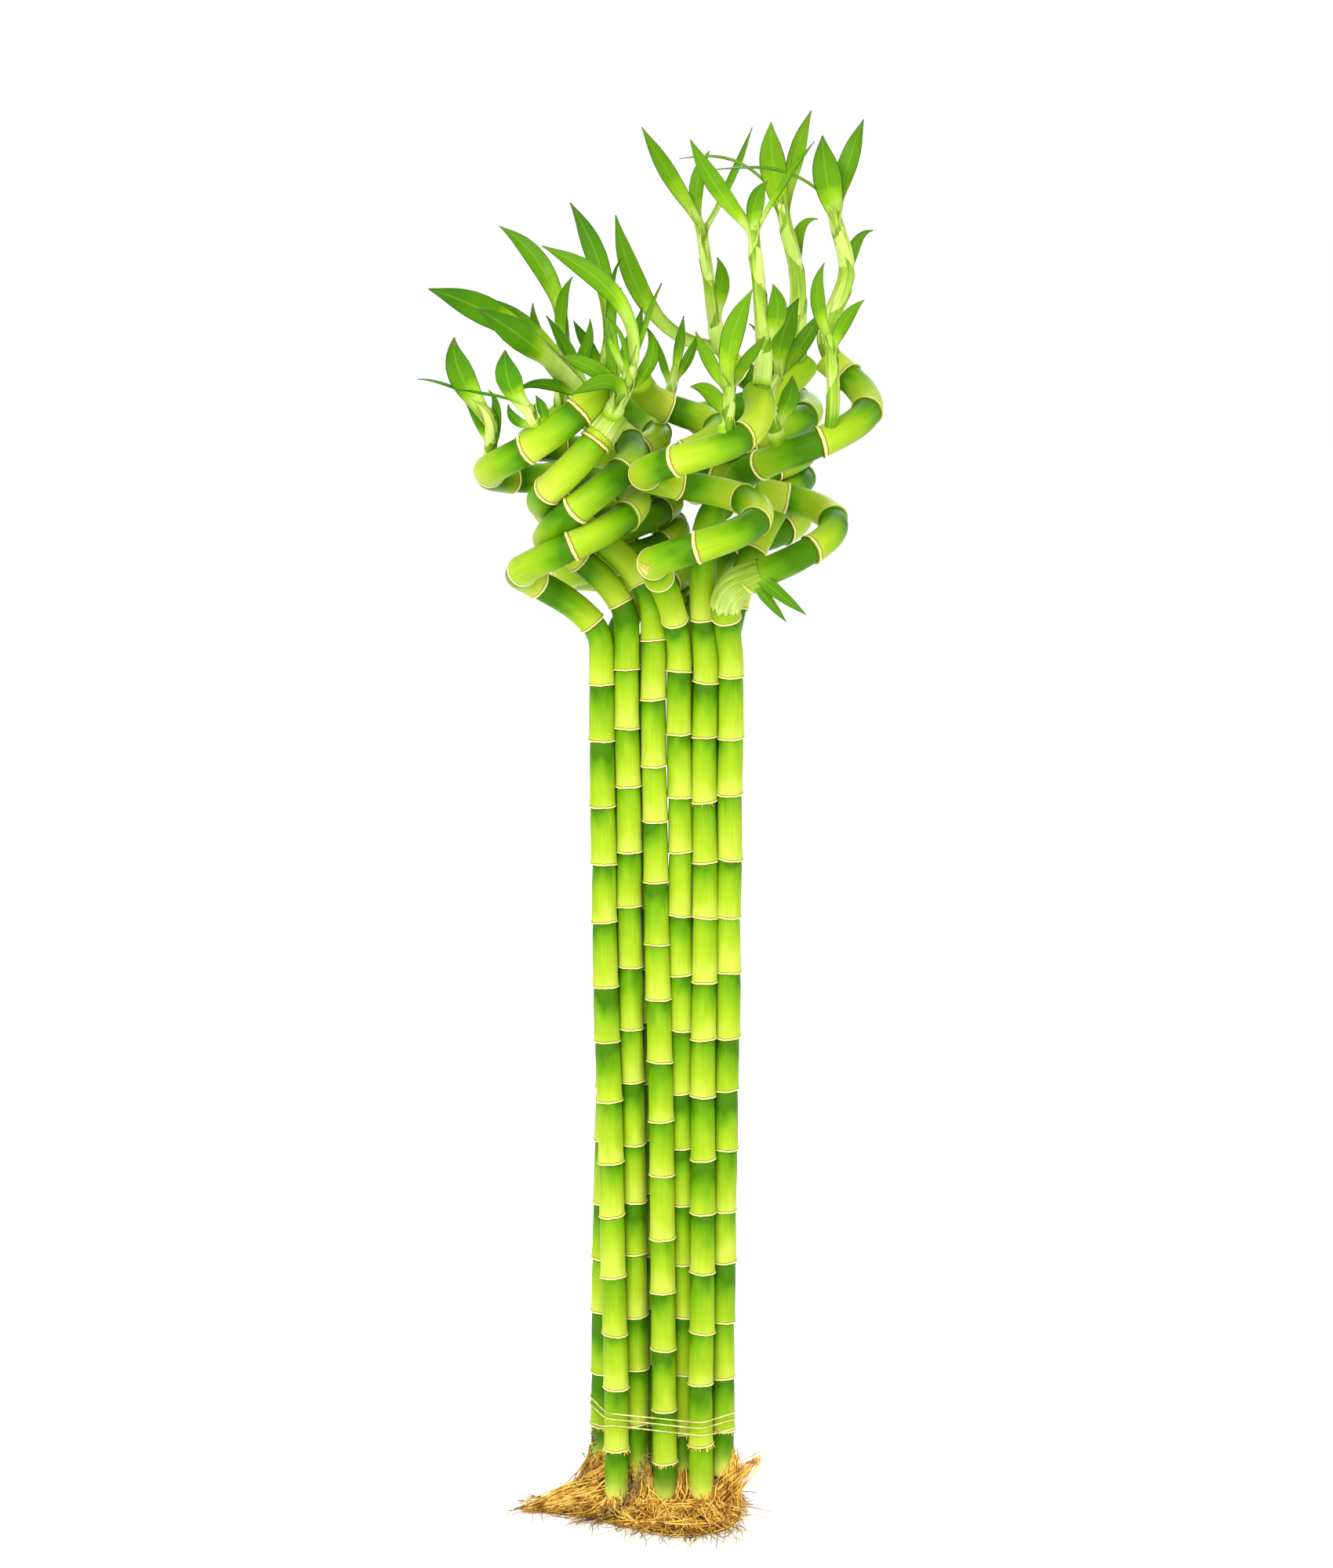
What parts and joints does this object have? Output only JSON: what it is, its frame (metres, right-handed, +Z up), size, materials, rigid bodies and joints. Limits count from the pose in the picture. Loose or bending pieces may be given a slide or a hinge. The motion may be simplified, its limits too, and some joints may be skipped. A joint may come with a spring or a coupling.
{
  "type": "lucky bamboo",
  "caption": "Tied bunch of tall green lucky bamboo canes with coiled tops, lance-shaped leafy shoots, a thread tie and a fibrous brown root mat that it stands on.",
  "frame": {"origin": "on the floor, in the flat underside of the root mat, below the middle of the tied canes", "axes": "+Z up along the canes, +X to the right and +Y to the back as seen from the front"},
  "size_m": [0.2824, 0.2711, 0.9092],
  "materials": {
    "cane": "smooth waxy green skin, semi-gloss",
    "leaf": "green leaf, satin",
    "root": "dry fibrous golden brown, matt",
    "thread": "pale twisted thread, matt"
  },
  "bodies": {
    "root": {"cane_01": "cane", "cane_02": "cane", "cane_03": "cane", "cane_04": "cane", "cane_05": "cane", "cane_06": "cane", "cane_07": "cane", "cane_08": "cane", "cane_09": "cane", "cane_10": "cane", "shoot_01": "leaf", "shoot_02": "leaf", "shoot_03": "leaf", "shoot_04": "leaf", "shoot_05": "leaf", "shoot_06": "leaf", "shoot_07": "leaf", "shoot_08": "leaf", "shoot_09": "leaf", "shoot_10": "leaf", "shoot_11": "leaf", "shoot_12": "leaf", "shoot_13": "leaf", "shoot_14": "leaf", "tie_thread": "thread", "root_mat": "root"}
  },
  "joints": []
}
